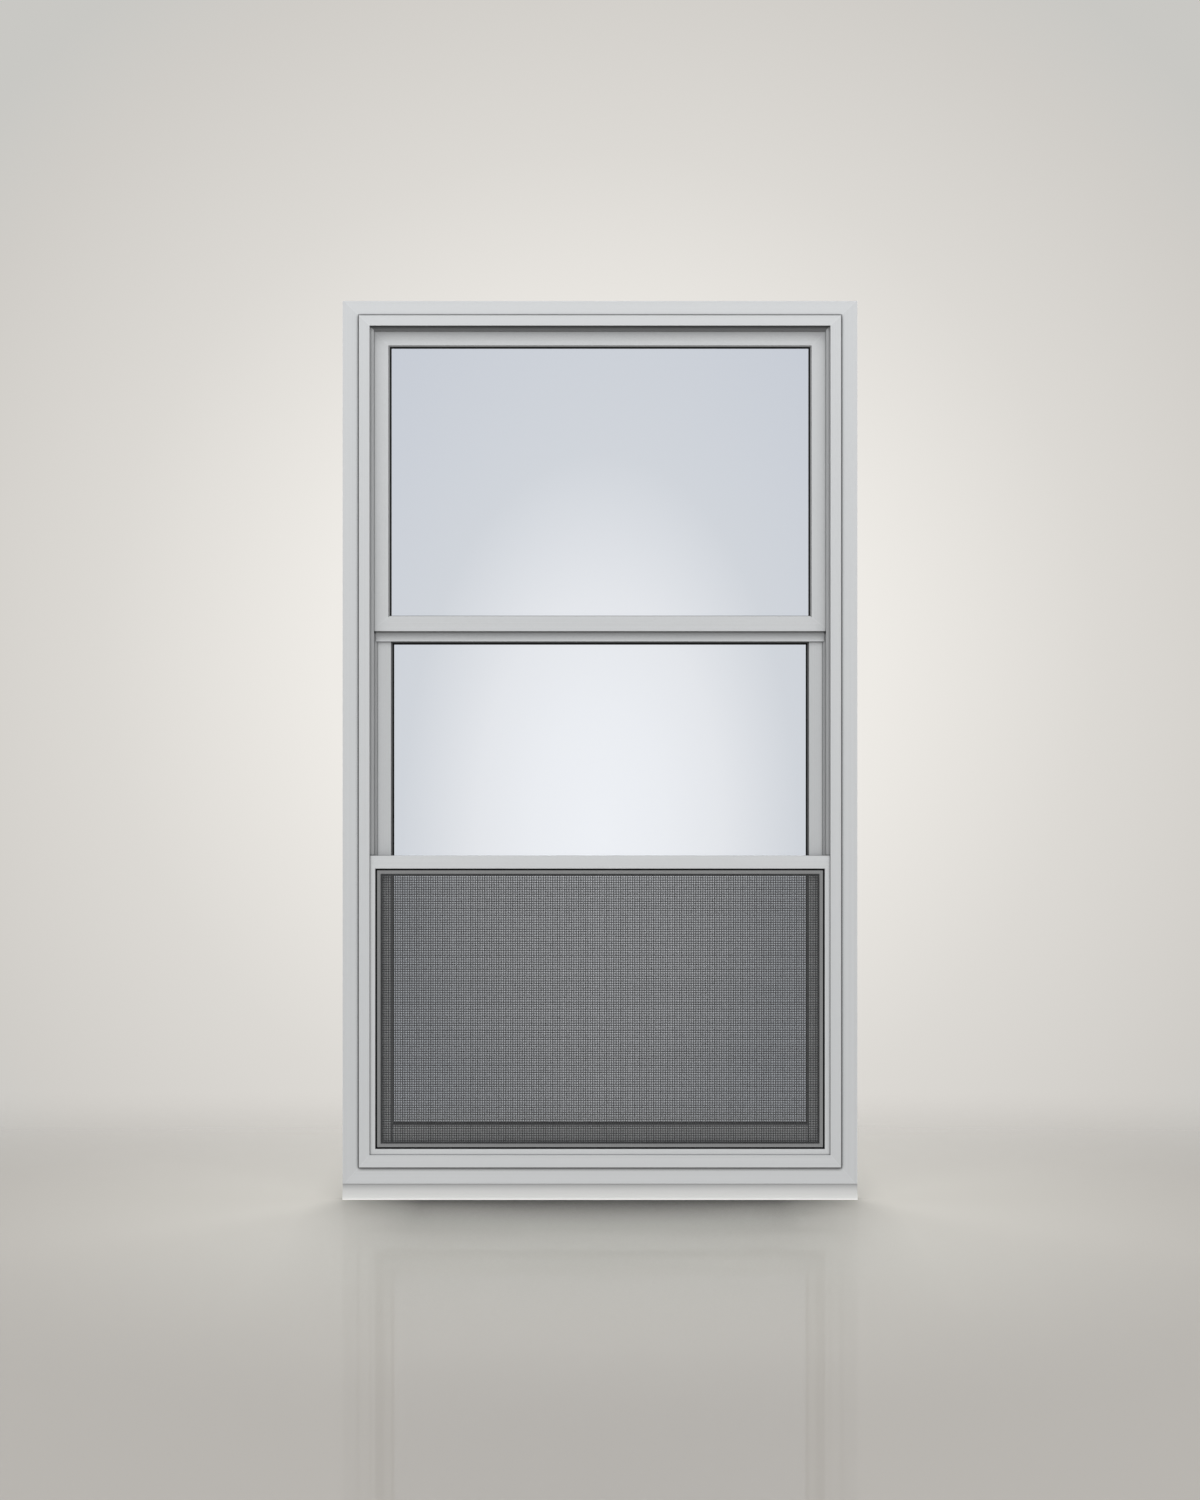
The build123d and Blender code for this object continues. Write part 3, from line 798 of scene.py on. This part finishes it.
# %% Put the world together
ray = add_node(sky, "ShaderNodeLightPath")
seen = add_node(sky, "ShaderNodeBackground", {}, {"Color": swept.outputs[2], "Strength": 1.0})
through = add_node(sky, "ShaderNodeBackground", {}, {"Color": painted_glass_sky, "Strength": 1.0})
lit = add_node(sky, "ShaderNodeBackground", {}, {"Color": lit_colour, "Strength": WORLD_LIGHT})
behind_glass = add_node(
    sky, "ShaderNodeMixShader", {},
    {0: ray.outputs["Is Transmission Ray"], 1: lit.outputs["Background"], 2: through.outputs["Background"]},
)
either = add_node(
    sky, "ShaderNodeMixShader", {},
    {0: ray.outputs["Is Camera Ray"], 1: behind_glass.outputs["Shader"], 2: seen.outputs["Background"]},
)
add_node(sky, "ShaderNodeOutputWorld", {}, {"Surface": either.outputs["Shader"]})
print("nodes of the world:", len(sky.nodes))

# %% [markdown]
# The floor is a plain sheet level with the window's foot. Its paint is pale by the window and greyer
# towards the camera and the sides: a painted pool of light. The soft grey pool at the foot, where the
# window hides the sky from the floor, is painted shade from an ambient occlusion node with a reach of
# two metres. It is painted only across the window's width, and thins out at its sides.

# %% Paint of the floor, with its pool of shade
SIDEWAYS_WEIGHT = 2.2
PALE_M = 0.4
GREY_M = 2.8
POOL_REACH_M = 2.0
POOL_DARKEST_TONE = 0.1
POOL_FULL_M = 0.28
POOL_GONE_M = 0.46


def floor_paint(tree, place, parts):
    """The floor's colour, a painted pool of light, with painted shade where the window hides the sky."""
    flat = add_node(
        tree, "ShaderNodeVectorMath", {"operation": "MULTIPLY"},
        {0: place.outputs["Position"], 1: (SIDEWAYS_WEIGHT, 1.0, 0.0)},
    )
    reach = add_node(tree, "ShaderNodeVectorMath", {"operation": "LENGTH"}, {0: flat.outputs["Vector"]})
    away = add_node(
        tree, "ShaderNodeMapRange", {"interpolation_type": "SMOOTHSTEP"},
        {"Value": reach.outputs["Value"], "From Min": PALE_M, "From Max": GREY_M},
    )
    pale = add_node(tree, "ShaderNodeValToRGB", {}, {"Fac": away.outputs["Result"]})
    open_sky = add_node(
        tree, "ShaderNodeAmbientOcclusion", {"samples": 16}, {"Distance": POOL_REACH_M}
    )
    pool = add_node(
        tree, "ShaderNodeMapRange", {},
        {
            "Value": open_sky.outputs["AO"], "From Min": 0.5, "From Max": 1.0,
            "To Min": POOL_DARKEST_TONE, "To Max": 1.0,
        },
    )
    sideways = add_node(tree, "ShaderNodeMath", {"operation": "ABSOLUTE"}, {0: parts.outputs["X"]})
    beside = add_node(
        tree, "ShaderNodeMapRange", {},
        {"Value": sideways.outputs["Value"], "From Min": POOL_FULL_M, "From Max": POOL_GONE_M},
    )
    kept = add_node(
        tree, "ShaderNodeMix", {}, {0: beside.outputs["Result"], 2: pool.outputs["Result"], 3: 1.0}
    )
    pooled = add_node(
        tree, "ShaderNodeVectorMath", {"operation": "SCALE"},
        {0: set_stops(pale, (0.0, "#dbd8d0"), (1.0, "#bdb9b3")), "Scale": kept.outputs[0]},
    )
    return pooled.outputs["Vector"]


# %% [markdown]
# The floor has a faint polish that mirrors the window. The rays that light the window find a floor
# that glows one even grey, an emission that is no lamp, so that the pool doesn't darken the window's
# foot. Behind the window the floor fades out, so that it runs into the background.

# %% Floor
FLOOR_SIZE_M = 30.0
FLOOR_CENTRE_Y_M = -11.0
POLISH_SHARE = 0.07
POLISH_ROUGHNESS = 0.04
FADE_START_M = 0.1
FADE_END_M = 2.6


def floor_finish(name):
    """Matt paint with a faint polish, which fades out behind the window, and glows for rays that light it.
    """
    material, output = new_material(name)
    tree = material.node_tree
    place = add_node(tree, "ShaderNodeNewGeometry")
    parts = add_node(tree, "ShaderNodeSeparateXYZ", {}, {"Vector": place.outputs["Position"]})
    fade = add_node(
        tree, "ShaderNodeMapRange", {"interpolation_type": "SMOOTHSTEP"},
        {"Value": parts.outputs["Y"], "From Min": FADE_START_M, "From Max": FADE_END_M},
    )
    matt = add_node(tree, "ShaderNodeBsdfDiffuse", {}, {"Color": floor_paint(tree, place, parts)})
    mirror = add_node(tree, "ShaderNodeBsdfGlossy", {}, {"Roughness": POLISH_ROUGHNESS})
    polished = add_node(
        tree, "ShaderNodeMixShader", {},
        {0: POLISH_SHARE, 1: matt.outputs["BSDF"], 2: mirror.outputs["BSDF"]},
    )
    bounce = add_node(tree, "ShaderNodeEmission", {}, {"Color": linear("#dad8d4")})
    ray = add_node(tree, "ShaderNodeLightPath")
    looked_at = add_node(
        tree, "ShaderNodeMath", {"operation": "MAXIMUM"},
        {0: ray.outputs["Is Camera Ray"], 1: ray.outputs["Is Transmission Ray"]},
    )
    near = add_node(
        tree, "ShaderNodeMixShader", {},
        {0: looked_at.outputs["Value"], 1: bounce.outputs["Emission"], 2: polished.outputs["Shader"]},
    )
    gone = add_node(tree, "ShaderNodeBsdfTransparent")
    surface = add_node(
        tree, "ShaderNodeMixShader", {},
        {0: fade.outputs["Result"], 1: near.outputs["Shader"], 2: gone.outputs["BSDF"]},
    )
    tree.links.new(surface.outputs["Shader"], output.inputs["Surface"])
    return material


bpy.ops.mesh.primitive_plane_add(size=1.0)
floor = bpy.context.object
floor.name = "studio_floor"
floor.scale = (FLOOR_SIZE_M, FLOOR_SIZE_M, 1.0)
floor.location = (0.0, FLOOR_CENTRE_Y_M, model_low.z)
floor.data.materials.append(floor_finish("studio_floor"))
print("floor at z in mm:", round(model_low.z / MM, 1))

# %% [markdown]
# A very wide soft lamp above and in front adds to the world's light, and leaves the undersides of
# the lips dark. A second one above and behind the window throws the soft shadow that ties it to the
# floor. Both are sun lamps, because their light is even over the whole window and floor.

# %% Lamps
def hang_sun(name, strength, spread, place):
    """A sun lamp that shines from this side, its disc this many degrees wide."""
    lamp = bpy.data.lights.new(name, "SUN")
    lamp.energy = strength
    lamp.angle = math.radians(spread)
    holder = bpy.data.objects.new(name, lamp)
    holder.location = place
    holder.rotation_euler = (-Vector(place)).to_track_quat("-Z", "Y").to_euler()
    bpy.context.scene.collection.objects.link(holder)
    print(name, "strength", strength, "spread", spread)


hang_sun("front_light", strength=1.05, spread=50, place=(0.0, -1.0, 0.6))
hang_sun("back_light", strength=1.7, spread=42, place=(0.0, 1.0, 0.75))

# %% [markdown]
# The Standard view shows a colour as it is written.

# %% Show colours as written
bpy.context.scene.view_settings.view_transform = "Standard"
